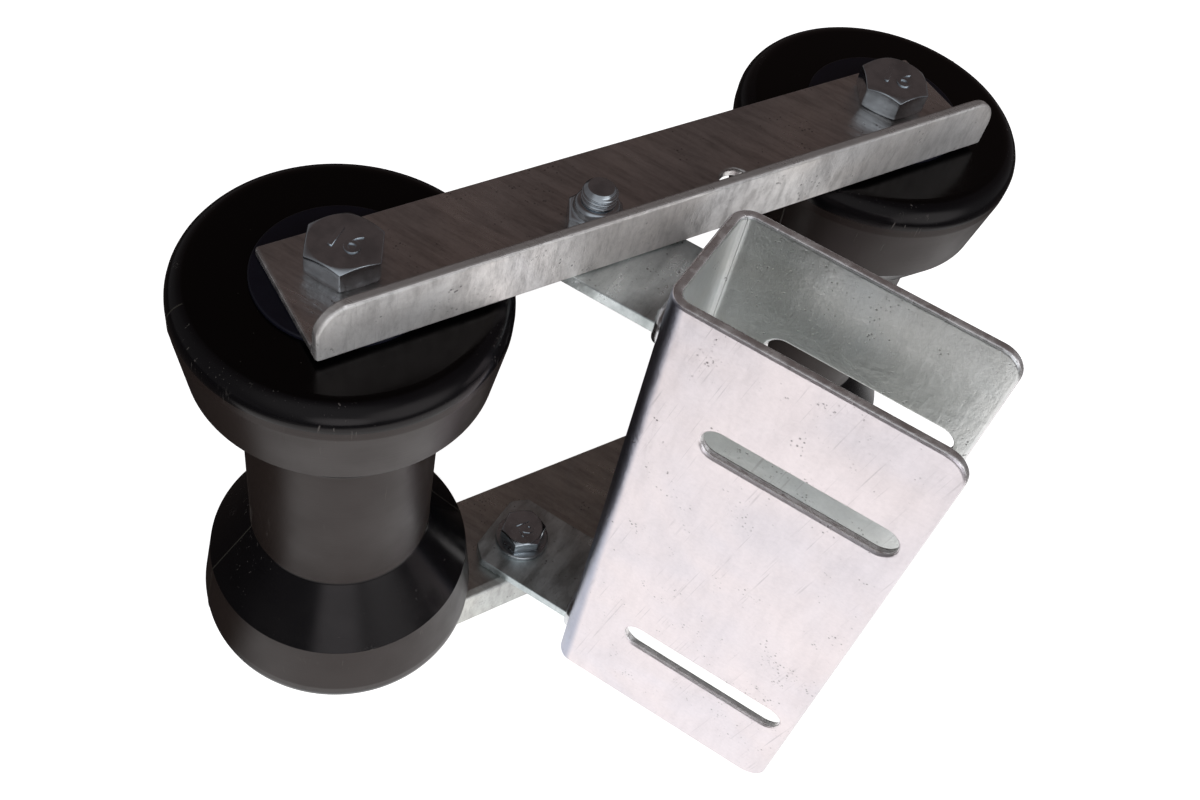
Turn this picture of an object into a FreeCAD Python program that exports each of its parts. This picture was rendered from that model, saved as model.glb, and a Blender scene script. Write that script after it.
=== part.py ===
import FreeCAD, Part
import math
import os
import re

import Sketcher
from FreeCAD import Placement, Rotation, Vector

# Tilting keel roller of a boat trailer. A pressed steel saddle straddles a crossbeam, and a rocker
# of two side arms and two waisted rollers tips on two short bolts through the saddle's ears.
# +Z is up, Y runs along the roller axles, and the origin is the middle of the saddle's seat.

SIZES = {
    # saddle: a channel pressed from plate, open downwards, with two slots in each flange
    "beam_gap": 46,             # between the flanges, where the crossbeam goes
    "saddle_wall": 4,
    "saddle_drop": 102,         # from the seat down to the flanges' free edges
    "saddle_overhang": 20.3,    # past the outer face of each ear
    "bend_round": 4,            # inside radius of the two bends
    "corner_round": 10,         # free corners of the flanges
    "slot_wide": 13,
    "slot_long": 73,            # tip to tip
    "slot_low": 59.5,           # from the seat down to the middle of the slots
    "slot_from_end": 52,        # from the saddle's end to the middle of a slot
    # ears: two flat bars welded across the top of the saddle
    "ear_wide": 40,
    "ear_thick": 5,
    "ear_tip": 15,              # from the pivot to the ear's end
    "ear_clip": 6,
    "ear_round": 2,             # corners of the clipped end
    "pivot_high": 42.5,         # from the seat up to the pivot
    "weld_leg": 4.5,
    "weld_land": 0.5,
    "weld_high": 4,
    # rocker: two side arms of pressed angle, flat side against the rollers, lip outwards
    "arm_deep": 48,
    "arm_wall": 4,
    "lip_wide": 22,
    "lip_round": 12,            # free corners of the lip
    "heel_round": 1.5,          # outside of the bend
    "root_round": 1.5,          # inside of the bend
    "axle_spacing": 225,
    "pivot_to_axle": 82.5,      # along the arm, to the nearer axle
    "axle_from_top": 17,
    "pivot_from_lip": 15,
    "arm_end": 23,              # from an axle to the end of the arm
    "tip_angle": 28.5,          # how far the long side hangs down at rest
    # rollers: two solid mouldings with a waist for the keel
    "roller_long": 200,
    "rim_diameter": 112,
    "rim_round": 8,
    "rim_land": 0.5,            # straight part of the rim beside its round
    "band_diameter": 105,       # where the outer band meets the cone
    "band_wide": 37,
    "cone_wide": 26,
    "waist_diameter": 71,
    # hub bushes, pressed into the rollers, and the spacer tubes that they turn on
    "hub_diameter": 60,
    "hub_thick": 1.7,
    "barrel_diameter": 30,
    "barrel_long": 30,
    "tube_diameter": 21.3,
    "tube_bore": 17,
    # bolt heads and nuts of both sizes, as shares of their own width and height
    "crown_share": 0.95,        # flat top of a head or nut, of the width across flats
    "point_share": 0.08,        # chamfer at a bolt's end, of the thread's diameter
    "hexagon_share": 0.72,      # hexagon of a locking nut, of the nut's height
    "collar_share": 0.88,       # collar of a locking nut, of the width across flats
    "ring_share": 0.8,          # plastic ring, of the width across flats
    "ring_depth": 0.25,         # pocket of the ring in the collar, of the nut's height
    # axle bolts and their nuts, 16 mm thread
    "axle_thread": 16,
    "axle_across": 24,
    "axle_head": 10,
    "axle_nut": 16,
    "axle_tail": 7,
    "axle_washer_wide": 30,
    "axle_washer_thick": 3,
    # pivot bolts and their nuts, 12 mm thread
    "pivot_thread": 12,
    "pivot_across": 18,
    "pivot_head": 7.5,
    "pivot_head_turn": 19.3,    # how far a corner of the head is turned from the arm's direction
    "pivot_nut": 12,
    "pivot_tail": 6,
    "pivot_washer_wide": 24,
    "pivot_washer_thick": 2.5,
    # clearances: sideways play, running fits, bolts in their holes, and pieces pressed together
    "side_play": 0.3,
    "pivot_fit": 0.1,
    "hub_fit": 0.08,
    "core_gap": 0.5,
    "bolt_gap": 0.5,
    "washer_gap": 0.5,
    "seat_gap": 0.05,
}

# lengths that follow from the sizes above, each between the pieces that it keeps together
FOLLOWING = {
    "arm_gap": "roller_long + 2 * hub_thick + 2 * side_play",
    "ear_outside": "arm_gap / 2 - side_play",
    "saddle_long": "2 * (ear_outside + saddle_overhang)",
    "slot_spacing": "saddle_long - 2 * slot_from_end",
    "arm_outside": "arm_gap / 2 + arm_wall",
    "axle_level": "arm_deep - pivot_from_lip - axle_from_top",
}

doc = FreeCAD.newDocument("tilting_keel_roller")


def linked(text):
    """The same formula with each length's name pointing at its cell in one of the two sheets."""
    def cell(match):
        word = match[0]
        sheet = "sizes." if word in SIZES else "following." if word in FOLLOWING else ""
        return sheet + word
    return re.sub(r"[a-z_]{3,}", cell, text)


def fill(name, cells):
    """A spreadsheet with one aliased row for each length."""
    sheet = doc.addObject("Spreadsheet::Sheet", name)
    for row, (alias, content) in enumerate(cells.items(), start=1):
        sheet.set(f"A{row}", alias)
        sheet.set(f"B{row}", content)
        sheet.setAlias(f"B{row}", alias)
        doc.recompute()
    return sheet


sizes = fill("sizes", {alias: str(number) for alias, number in SIZES.items()})
following = fill("following", {alias: "=" + linked(formula) for alias, formula in FOLLOWING.items()})

parts = []


def bind(thing, **formulas):
    for name, text in formulas.items():
        thing.setExpression(name, linked(text))


def size(alias):
    return float((sizes if alias in SIZES else following).get(alias))


def keep(shape, label, placement=None):
    """Names a finished sub-part, puts it in its place and lists it for writing."""
    shape.Label = label
    if placement is not None:
        shape.Placement = placement
    parts.append(shape)
    return shape


def plane(body, role):
    return [f for f in body.Origin.OriginFeatures if f.Role == role]


def sketch_on(body, name, role, offset=None):
    """An empty sketch on one of the body's own planes, moved along its normal by a formula."""
    sketch = body.newObject("Sketcher::SketchObject", name)
    sketch.AttachmentSupport = [(plane(body, role)[0], "")]
    sketch.MapMode = "FlatFace"
    if offset:
        sketch.setExpression(".AttachmentOffset.Base.z", linked(offset))
    return sketch


def hold(sketch, number, point, across, up):
    """Ties a point of a sketch to two formulas, its distances from the sketch's origin."""
    for kind, text in (("DistanceX", across), ("DistanceY", up)):
        index = sketch.addConstraint(Sketcher.Constraint(kind, -1, 1, number, point, 0.0))
        sketch.setExpression(f"Constraints[{index}]", linked(text))


def polygon(sketch, corners):
    """A closed outline of straight lines through corners given as pairs of formulas."""
    count = len(corners)
    ring = [(math.cos(2 * math.pi * k / count), math.sin(2 * math.pi * k / count)) for k in range(count)]
    first = sketch.GeometryCount
    for k in range(count):
        ends = [Vector(*ring[j % count], 0) for j in (k, k + 1)]
        sketch.addGeometry(Part.LineSegment(*ends), False)
    for k in range(count):
        following = first + (k + 1) % count
        sketch.addConstraint(Sketcher.Constraint("Coincident", first + k, 2, following, 1))
    for k, (across, up) in enumerate(corners):
        hold(sketch, first + k, 1, across, up)


def circle(sketch, across, up, radius):
    number = sketch.addGeometry(Part.Circle(Vector(0, 0, 0), Vector(0, 0, 1), 1), False)
    hold(sketch, number, 3, across, up)
    index = sketch.addConstraint(Sketcher.Constraint("Radius", number, 1.0))
    sketch.setExpression(f"Constraints[{index}]", linked(radius))


def extrude(body, kind, name, sketch, length=None, both_ways=False, backwards=False):
    """A Pad or a Pocket of a sketch; with no length a Pocket goes right through."""
    feature = body.newObject("PartDesign::" + kind, name)
    feature.Profile = sketch
    if both_ways:
        feature.SideType = "Symmetric"
    feature.Reversed = backwards
    if length is None:
        feature.Type = "ThroughAll"
    else:
        bind(feature, Length=length)
    doc.recompute()
    return feature


def soften(body, name, radius, chosen):
    """A fillet on every edge of the body so far that the test picks out."""
    base = body.Tip
    names = [f"Edge{k}" for k, edge in enumerate(base.Shape.Edges, start=1) if chosen(edge)]
    feature = body.newObject("PartDesign::Fillet", name)
    feature.Base = (base, names)
    bind(feature, Radius=radius)
    doc.recompute()
    return feature


def runs_along(edge, axis):
    """True for a straight edge parallel to the axis."""
    if edge.Curve.TypeId != "Part::GeomLine":
        return False
    return abs(abs(edge.Curve.Direction.dot(axis)) - 1) < 1e-6


def near(a, b):
    return abs(a - b) < 0.01


X = Vector(1, 0, 0)
Y = Vector(0, 1, 0)
Z = Vector(0, 0, 1)

# where the rocker sits: pivot height, tipped about Y
rocker = Placement(Vector(0, 0, size("pivot_high")), Rotation(Y, -size("tip_angle")))


def make_saddle():
    """Bent channel: a solid block with rounded top edges, hollowed from below, then slotted."""
    body = doc.addObject("PartDesign::Body", "saddle")
    half = "(beam_gap / 2 + saddle_wall)"
    outline = sketch_on(body, "saddle_outline", "XZ_Plane")
    polygon(outline, [("-" + half, "saddle_wall"), (half, "saddle_wall"),
                      (half, "-saddle_drop"), ("-" + half, "-saddle_drop")])
    extrude(body, "Pad", "saddle_block", outline, "saddle_long", both_ways=True)
    top = size("saddle_wall")
    soften(body, "outer_bends", "bend_round + saddle_wall",
           lambda e: runs_along(e, Y) and near(e.CenterOfMass.z, top))
    inside = sketch_on(body, "beam_space", "XZ_Plane")
    polygon(inside, [("-beam_gap / 2", "0"), ("beam_gap / 2", "0"),
                     ("beam_gap / 2", "-saddle_drop - saddle_wall"),
                     ("-beam_gap / 2", "-saddle_drop - saddle_wall")])
    extrude(body, "Pocket", "beam_channel", inside, both_ways=True)
    soften(body, "inner_bends", "bend_round", lambda e: runs_along(e, Y) and near(e.CenterOfMass.z, 0))
    bottom = -size("saddle_drop")
    soften(body, "free_corners", "corner_round", lambda e: runs_along(e, X) and near(e.CenterOfMass.z, bottom))
    slot = sketch_on(body, "slot", "YZ_Plane")
    slot_outline(slot)
    cut = extrude(body, "Pocket", "first_slots", slot, both_ways=True)
    pattern = body.newObject("PartDesign::LinearPattern", "second_slots")
    pattern.Originals = [cut]
    pattern.Direction = (plane(body, "Y_Axis")[0], [""])
    pattern.Occurrences = 2
    bind(pattern, Length="slot_spacing")
    body.Tip = pattern
    doc.recompute()
    return keep(body, "saddle_bracket")


def slot_outline(sketch):
    """A slot with round ends that runs up and down, half the spacing to one side of the middle."""
    reach = "(slot_long / 2 - slot_wide / 2)"
    radius = size("slot_wide") / 2
    upper_centre = Vector(-size("slot_spacing") / 2, size("slot_long") / 2 - radius - size("slot_low"), 0)
    lower_centre = upper_centre - Vector(0, size("slot_long") - 2 * radius, 0)
    side = Vector(radius, 0, 0)
    upper = sketch.addGeometry(Part.ArcOfCircle(Part.Circle(upper_centre, Z, radius), 0, math.pi))
    left = sketch.addGeometry(Part.LineSegment(upper_centre - side, lower_centre - side))
    lower = sketch.addGeometry(Part.ArcOfCircle(Part.Circle(lower_centre, Z, radius), math.pi, 2 * math.pi))
    right = sketch.addGeometry(Part.LineSegment(lower_centre + side, upper_centre + side))
    for first, following in ((upper, left), (left, lower), (lower, right), (right, upper)):
        sketch.addConstraint(Sketcher.Constraint("Tangent", first, 2, following, 1))
    for arc, centre in ((upper, "-slot_low + " + reach), (lower, "-slot_low - " + reach)):
        hold(sketch, arc, 3, "-slot_spacing / 2", centre)
    index = sketch.addConstraint(Sketcher.Constraint("Radius", upper, radius))
    sketch.setExpression(f"Constraints[{index}]", linked("slot_wide / 2"))
    sketch.addConstraint(Sketcher.Constraint("Equal", upper, lower))


def make_ear(label, side):
    """Flat bar with two clipped corners and the pivot hole; side is 1 for +Y and -1 for -Y."""
    body = doc.addObject("PartDesign::Body", label)
    half = "ear_wide / 2"
    top = "pivot_high + ear_tip"
    middle = f"{-side} * (ear_outside - ear_thick / 2)"
    outline = sketch_on(body, label + "_outline", "XZ_Plane", middle)
    polygon(outline, [("-" + half, "saddle_wall"), (half, "saddle_wall"), (half, top + " - ear_clip"),
                      (half + " - ear_clip", top), (f"-({half} - ear_clip)", top),
                      ("-" + half, top + " - ear_clip")])
    circle(outline, "0", "pivot_high", "pivot_thread / 2 + bolt_gap")
    extrude(body, "Pad", label + "_plate", outline, "ear_thick", both_ways=True)
    foot = size("saddle_wall")
    soften(body, label + "_corners", "ear_round", lambda e: runs_along(e, Y) and e.CenterOfMass.z > foot + 1)
    return keep(body, label)


def box(name, x, y, z, base):
    """A block whose size and corner are formulas."""
    block = doc.addObject("Part::Box", name)
    bind(block, Length=x, Width=y, Height=z)
    for axis, text in zip("xyz", base):
        block.setExpression(f".Placement.Base.{axis}", linked(text))
    return block


def rod(name, radius, height, start="0"):
    """A cylinder along Z from a start height."""
    bar = doc.addObject("Part::Cylinder", name)
    bind(bar, Radius=radius, Height=height)
    bar.setExpression(".Placement.Base.z", linked(start))
    return bar


def cone(name, low_radius, high_radius, height, start="0"):
    taper = doc.addObject("Part::Cone", name)
    bind(taper, Radius1=low_radius, Radius2=high_radius, Height=height)
    taper.setExpression(".Placement.Base.z", linked(start))
    return taper


def cut(name, base, tool):
    result = doc.addObject("Part::Cut", name)
    result.Base = base
    result.Tool = tool
    return result


def common(name, first, second):
    result = doc.addObject("Part::Common", name)
    result.Base = first
    result.Tool = second
    return result


def fuse(name, *pieces):
    result = doc.addObject("Part::MultiFuse", name)
    result.Shapes = list(pieces)
    result.Refine = True
    return result


def make_weld(label, side):
    """Fillet bead all round an ear's foot, lying on the web and on its two rounded bends."""
    middle = f"{side} * (ear_outside - ear_thick / 2)"
    bead = doc.addObject("Part::Wedge", label + "_block")
    foot = {"X": "ear_wide / 2", "Z": "ear_thick / 2"}
    for axis, half in foot.items():
        bind(bead, **{axis + "min": f"-{half} - weld_leg", axis + "max": f"{half} + weld_leg",
                      axis + "2min": f"-{half} - weld_land", axis + "2max": f"{half} + weld_land"})
    bind(bead, Ymin="-bend_round", Ymax="weld_high")
    bead.Placement.Rotation = Rotation(X, 90)
    bead.setExpression(".Placement.Base.y", linked(middle))
    bead.setExpression(".Placement.Base.z", linked("saddle_wall"))
    ear = box(label + "_foot", "ear_wide", "ear_thick", "pivot_high",
              ("-ear_wide / 2", f"{middle} - ear_thick / 2", "saddle_wall - bend_round"))
    outer = "(bend_round + saddle_wall)"
    flat = box(label + "_web", f"beam_gap + 2 * saddle_wall - 2 * {outer}", "saddle_long", outer,
               (f"-(beam_gap / 2 + saddle_wall - {outer})", "-saddle_long / 2", "-bend_round"))
    bends = []
    for turn in (-1, 1):
        bend = doc.addObject("Part::Cylinder", f"{label}_bend")
        bind(bend, Radius=outer, Height="saddle_long")
        bend.Placement.Rotation = Rotation(X, 90)
        bend.setExpression(".Placement.Base.x", linked(f"{turn} * (beam_gap / 2 + saddle_wall - {outer})"))
        bend.setExpression(".Placement.Base.y", linked("saddle_long / 2"))
        bend.setExpression(".Placement.Base.z", linked("-bend_round"))
        bends.append(bend)
    under = fuse(label + "_under", flat, *bends)
    open_bead = cut(label + "_open", bead, ear)
    return keep(cut(label, open_bead, under), label)


def make_arm(label, side):
    """Pressed angle: a flat side with the axle and pivot holes, and a lip that points outwards."""
    body = doc.addObject("PartDesign::Body", label)
    inner = f"{side} * arm_gap / 2"
    outer = f"{side} * arm_outside"
    lip = f"{side} * (arm_gap / 2 + lip_wide)"
    top = "arm_deep - pivot_from_lip"
    section = sketch_on(body, label + "_section", "YZ_Plane", "-(axle_spacing - pivot_to_axle + arm_end)")
    polygon(section, [(inner, "-pivot_from_lip"), (lip, "-pivot_from_lip"), (lip, "arm_wall - pivot_from_lip"),
                      (outer, "arm_wall - pivot_from_lip"), (outer, top), (inner, top)])
    extrude(body, "Pad", label + "_angle", section, "axle_spacing + 2 * arm_end")
    far = size("arm_gap") / 2 + size("lip_wide")
    soften(body, label + "_lip_corners", "lip_round",
           lambda e: runs_along(e, Z) and near(abs(e.CenterOfMass.y), far))
    holes = sketch_on(body, label + "_holes", "XZ_Plane")
    circle(holes, "pivot_to_axle", "axle_level", "axle_thread / 2 + bolt_gap")
    circle(holes, "pivot_to_axle - axle_spacing", "axle_level", "axle_thread / 2 + bolt_gap")
    circle(holes, "0", "0", "pivot_thread / 2 + pivot_fit")
    circle(holes, "2 * pivot_to_axle - axle_spacing", "0", "pivot_thread / 2 + pivot_fit")
    extrude(body, "Pocket", label + "_drilling", holes, both_ways=True)
    low, gap, wall = -size("pivot_from_lip"), size("arm_gap") / 2, size("arm_wall")

    def at_bend(edge, across, up):
        middle = edge.CenterOfMass
        return runs_along(edge, X) and near(abs(middle.y), across) and near(middle.z, up)
    soften(body, label + "_heel", "heel_round", lambda e: at_bend(e, gap, low))
    soften(body, label + "_root", "root_round", lambda e: at_bend(e, gap + wall, low + wall))
    return keep(body, label, rocker)


def axle_place(along):
    """The middle of a roller's axle: along is its distance from the pivot towards +X."""
    return rocker.multiply(Placement(Vector(along, 0, size("axle_level")), Rotation()))


def lathe(body, name, profile):
    """A solid turned about the body's Y axis from a profile of (distance along Y, radius) formulas."""
    sketch = sketch_on(body, name + "_profile", "YZ_Plane")
    polygon(sketch, profile)
    turned = body.newObject("PartDesign::Revolution", name)
    turned.Profile = sketch
    turned.ReferenceAxis = (sketch, ["H_Axis"])
    doc.recompute()
    return turned


def ring_at(edge, radius):
    return edge.Curve.TypeId == "Part::GeomCircle" and near(edge.Curve.Radius, radius)


def make_roller(label, place):
    """Waisted roller: flat ends, a rounded rim, a band, a cone down to the waist and a stepped bore."""
    body = doc.addObject("PartDesign::Body", label)
    half = "roller_long / 2"
    right = [(half, "barrel_diameter / 2 + seat_gap"), (half, "rim_diameter / 2"),
             (f"{half} - rim_round - rim_land", "rim_diameter / 2"), (f"{half} - band_wide", "band_diameter / 2"),
             (f"{half} - band_wide - cone_wide", "waist_diameter / 2")]
    left = [("-(" + along + ")", radius) for along, radius in reversed(right)]
    step = "(roller_long / 2 - barrel_long)"
    bore = [("-" + step, "barrel_diameter / 2 + seat_gap"), ("-" + step, "tube_diameter / 2 + core_gap"),
            (step, "tube_diameter / 2 + core_gap"), (step, "barrel_diameter / 2 + seat_gap")]
    lathe(body, label + "_turned", right + left + bore)
    rim, end = size("rim_diameter") / 2, size("roller_long") / 2
    soften(body, label + "_rims", "rim_round",
           lambda e: ring_at(e, rim) and near(abs(e.CenterOfMass.y), end))
    return keep(body, label, place)


def make_hub(label, place, side):
    """Flanged bush: a thin disc on the roller's end and a barrel inside it."""
    body = doc.addObject("PartDesign::Body", label)
    bore = "tube_diameter / 2 + hub_fit"
    face = "roller_long / 2"
    profile = [(face, "barrel_diameter / 2"), (face, "hub_diameter / 2"),
               (f"{face} + hub_thick", "hub_diameter / 2"), (f"{face} + hub_thick", bore),
               (f"{face} - barrel_long", bore), (f"{face} - barrel_long", "barrel_diameter / 2")]
    lathe(body, label + "_turned", [(f"{side} * ({along})", radius) for along, radius in profile])
    return keep(body, label, place)


OUTWARDS = {1: Rotation(X, -90), -1: Rotation(X, 90)}     # turns +Z to +Y, or to -Y


def at(along_y, side, base=None):
    """A place on the Y axis of the base, with the piece's own +Z pointing to that side."""
    place = Placement(Vector(0, along_y, 0), OUTWARDS[side])
    return base.multiply(place) if base else place


def make_tube(label, base):
    """Spacer tube between the two arms, which the axle bolt clamps."""
    wall = rod(label + "_outside", "tube_diameter / 2", "arm_gap")
    bore = rod(label + "_bore", "tube_bore / 2", "arm_gap")
    return keep(cut(label, wall, bore), label, at(-size("arm_gap") / 2, 1, base))


def hexagon(name, across, height):
    """Six-sided bar whose outer end is turned to a shallow cone, as on a bolt head."""
    bar = doc.addObject("Part::Prism", name + "_bar")
    bar.Polygon = 6
    bind(bar, Circumradius=f"{across} / sqrt(3)", Height=height)
    flat = f"crown_share * {across} / 2"
    crown = cone(name + "_crown", f"{flat} + sqrt(3) * ({height})", flat, height)
    return common(name, bar, crown)


def make_bolt(label, kind, shank, place):
    """Hexagon head above Z = 0 and a shank with a chamfered end below it."""
    head = hexagon(label + "_head", kind + "_across", kind + "_head")
    thread = kind + "_thread"
    tip = f"point_share * {thread}"
    bar = rod(label + "_shank", f"{thread} / 2", f"{shank} - {tip}", f"-({shank}) + {tip}")
    point = cone(label + "_point", f"{thread} / 2 - {tip}", f"{thread} / 2", tip, f"-({shank})")
    return keep(fuse(label, head, bar, point), label, place)


def make_nut(label, kind, place):
    """Locking nut: a hexagon with a round collar, counterbored for the ring that grips the thread."""
    across = kind + "_across"
    height = kind + "_nut"
    pocket = f"(1 - ring_depth) * {height}"
    body = hexagon(label + "_hexagon", across, f"hexagon_share * {height}")
    collar = rod(label + "_collar", f"collar_share * {across} / 2", height)
    solid = fuse(label + "_solid", body, collar)
    bore = rod(label + "_bore", f"{kind}_thread / 2 + seat_gap", height)
    recess = rod(label + "_recess", f"ring_share * {across} / 2 + seat_gap", f"ring_depth * {height}", pocket)
    space = fuse(label + "_space", bore, recess)
    return keep(cut(label, solid, space), label, place)


def make_ring(label, kind, place):
    """The plastic ring in a locking nut, seated on the floor of its pocket."""
    height = f"ring_depth * {kind}_nut - seat_gap"
    start = f"(1 - ring_depth) * {kind}_nut"
    outside = rod(label + "_outside", f"ring_share * {kind}_across / 2", height, start)
    bore = rod(label + "_bore", f"{kind}_thread / 2 + seat_gap", height, start)
    return keep(cut(label, outside, bore), label, place)


def make_washer(label, kind, gap, place):
    disc = rod(label + "_disc", f"{kind}_washer_wide / 2", f"{kind}_washer_thick")
    hole = rod(label + "_hole", f"{kind}_thread / 2 + {gap}", f"{kind}_washer_thick")
    return keep(cut(label, disc, hole), label, place)


make_saddle()
SIDES = {"left": 1, "right": -1}
arm_outside = size("arm_outside")
ear_inside = size("ear_outside") - size("ear_thick")
for hand, side in SIDES.items():
    make_ear(f"{hand}_ear", side)
    make_weld(f"{hand}_ear_weld", side)
    make_arm(f"{hand}_side_arm", side)
    # pivot: head and washer inside the ear, nut outside the arm, all on the ear's axis
    pivot = Placement(Vector(0, 0, size("pivot_high")), Rotation(Y, -size("tip_angle")))
    head_pivot = pivot.multiply(Placement(Vector(0, 0, 0), Rotation(Y, -size("pivot_head_turn"))))
    washer_seat = side * ear_inside
    head_seat = side * (ear_inside - size("pivot_washer_thick"))
    nut_seat = side * (arm_outside + size("side_play"))
    grip = "pivot_washer_thick + ear_thick + side_play + arm_wall + side_play"
    make_washer(f"{hand}_pivot_washer", "pivot", "washer_gap", at(washer_seat, -side, pivot))
    make_bolt(f"{hand}_pivot_bolt", "pivot", f"{grip} + pivot_nut + pivot_tail", at(head_seat, -side, head_pivot))
    make_nut(f"{hand}_pivot_nut", "pivot", at(nut_seat, side, pivot))
    make_ring(f"{hand}_pivot_nut_ring", "pivot", at(nut_seat, side, pivot))

AXLES = {"front": size("pivot_to_axle"), "rear": size("pivot_to_axle") - size("axle_spacing")}
for end, along in AXLES.items():
    axle = axle_place(along)
    make_roller(f"{end}_roller", axle)
    for hand, side in SIDES.items():
        make_hub(f"{end}_{hand}_hub_bush", axle, side)
    make_tube(f"{end}_spacer_tube", axle)
    nut_side = -(arm_outside + size("axle_washer_thick"))
    grip = "arm_gap + 2 * arm_wall + axle_washer_thick"
    make_bolt(f"{end}_axle_bolt", "axle", f"{grip} + axle_nut + axle_tail", at(arm_outside, 1, axle))
    make_washer(f"{end}_axle_washer", "axle", "washer_gap", at(-arm_outside, -1, axle))
    make_nut(f"{end}_axle_nut", "axle", at(nut_side, -1, axle))
    make_ring(f"{end}_axle_nut_ring", "axle", at(nut_side, -1, axle))

doc.recompute()
for thing in doc.Objects:
    if {"Invalid", "Error"} & set(thing.State):
        raise RuntimeError(f"{thing.Label} did not build: {thing.State}")
for piece in parts:
    if piece.Shape.isNull() or not piece.Shape.isValid() or not piece.Shape.Solids:
        raise RuntimeError(f"{piece.Label} has no sound shape")

os.makedirs("parts", exist_ok=True)
for piece in parts:
    piece.Shape.exportStep(f"parts/{piece.Label}.step")
    print(piece.Label, len(piece.Shape.Solids), "solid, volume", round(piece.Shape.Volume, 1))
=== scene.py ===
import bmesh
import bpy
import numpy as np
from mathutils import Matrix, Vector


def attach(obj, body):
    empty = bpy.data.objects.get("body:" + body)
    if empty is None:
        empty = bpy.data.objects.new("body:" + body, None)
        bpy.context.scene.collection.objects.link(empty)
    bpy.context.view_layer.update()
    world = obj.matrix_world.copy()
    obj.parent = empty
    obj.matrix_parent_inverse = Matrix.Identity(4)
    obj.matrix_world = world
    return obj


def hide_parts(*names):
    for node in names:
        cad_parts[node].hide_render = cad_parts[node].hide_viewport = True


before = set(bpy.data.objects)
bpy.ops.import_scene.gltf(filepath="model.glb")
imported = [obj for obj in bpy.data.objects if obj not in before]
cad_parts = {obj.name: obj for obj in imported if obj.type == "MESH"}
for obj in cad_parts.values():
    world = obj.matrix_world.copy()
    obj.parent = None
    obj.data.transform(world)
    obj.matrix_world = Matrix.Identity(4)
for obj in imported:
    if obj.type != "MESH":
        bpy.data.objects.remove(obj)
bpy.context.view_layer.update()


# Saddle bracket: a channel pressed from 4 mm plate, open downwards over the trailer's crossbeam,
# with four upright slots for the clamp bolts. It was dipped in molten zinc, so its skin is cloudy
# and its sheared edges are rounded, dark, and lined with zinc that has run together.
MM = 0.001
SADDLE_HALF_LONG, SADDLE_DROP, SADDLE_ROUND = 122 * MM, 102 * MM, 1.5 * MM
WALL_MIDDLE, CREASE_AT = 25 * MM, 21.9 * MM
SHARP = np.radians(35)


def rounded_copy(node, name, body, round_off, steps):
    """A CAD node's own shape, its triangles joined into whole faces and its cut edges rounded. The
    rounding doesn't slide along the faces' seams, which would turn some of them over."""
    solid = bmesh.new()
    solid.from_mesh(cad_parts[node].data)
    bmesh.ops.remove_doubles(solid, verts=solid.verts, dist=0.005 * MM)
    bmesh.ops.dissolve_limit(solid, angle_limit=np.radians(0.5), verts=solid.verts, edges=solid.edges)
    mesh = bpy.data.meshes.new(name)
    solid.to_mesh(mesh)
    solid.free()
    mesh.materials.clear()
    mesh.shade_smooth()
    mesh.set_sharp_from_angle(angle=SHARP)
    piece = bpy.data.objects.new(name, mesh)
    bpy.context.scene.collection.objects.link(piece)
    edges = piece.modifiers.new("edges", "BEVEL")
    edges.width = round_off
    edges.segments = steps
    edges.limit_method = "ANGLE"
    edges.angle_limit = SHARP
    edges.harden_normals = True
    edges.use_clamp_overlap = edges.loop_slide = False
    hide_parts(node)
    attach(piece, body)
    return piece


def noise(tree, vector, scale, detail=3.0, rough=0.55, distortion=0.0):
    """A noise texture on the given coordinates; scale is in features per metre."""
    made = tree.nodes.new("ShaderNodeTexNoise")
    made.inputs["Scale"].default_value = scale
    made.inputs["Detail"].default_value = detail
    made.inputs["Roughness"].default_value = rough
    made.inputs["Distortion"].default_value = distortion
    tree.links.new(vector, made.inputs["Vector"])
    return made.outputs["Fac"]


def ramp(tree, value, low, high, to_low=0.0, to_high=1.0):
    """Stretches the range low to high of a value onto to_low to to_high, smoothly and clamped."""
    made = tree.nodes.new("ShaderNodeMapRange")
    made.interpolation_type = "SMOOTHSTEP"
    for name, number in (("From Min", low), ("From Max", high), ("To Min", to_low), ("To Max", to_high)):
        made.inputs[name].default_value = number
    tree.links.new(value, made.inputs["Value"])
    return made.outputs["Result"]


def sums(tree, kind, first, second):
    """Arithmetic on two values, each a socket or a number."""
    made = tree.nodes.new("ShaderNodeMath")
    made.operation = kind
    for k, term in enumerate((first, second)):
        if isinstance(term, (int, float)):
            made.inputs[k].default_value = term
        else:
            tree.links.new(term, made.inputs[k])
    return made.outputs[0]


def absolute(tree, value):
    """A value without its sign."""
    return sums(tree, "ABSOLUTE", value, 0.0)


def axes(tree, place):
    """The x, y and z of coordinates."""
    made = tree.nodes.new("ShaderNodeSeparateXYZ")
    tree.links.new(place, made.inputs[0])
    return made.outputs


def blend(tree, factor, first, second, kind="MIX"):
    """Mixes two colours, each a socket or three numbers."""
    made = tree.nodes.new("ShaderNodeMix")
    made.data_type = "RGBA"
    made.blend_type = kind
    for name, term in (("Factor", factor), ("A", first), ("B", second)):
        wanted = [s for s in made.inputs if s.name == name and s.enabled][0]
        if isinstance(term, tuple):
            wanted.default_value = (*term, 1.0)
        elif isinstance(term, float):
            wanted.default_value = term
        else:
            tree.links.new(term, wanted)
    return [s for s in made.outputs if s.enabled][0]


def stretched(tree, vector, scale, turn=(0, 0, 0)):
    """Coordinates turned and stretched, for patterns that run one way."""
    made = tree.nodes.new("ShaderNodeMapping")
    made.inputs["Scale"].default_value = scale
    made.inputs["Rotation"].default_value = turn
    tree.links.new(vector, made.inputs["Vector"])
    return made.outputs[0]


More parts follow.
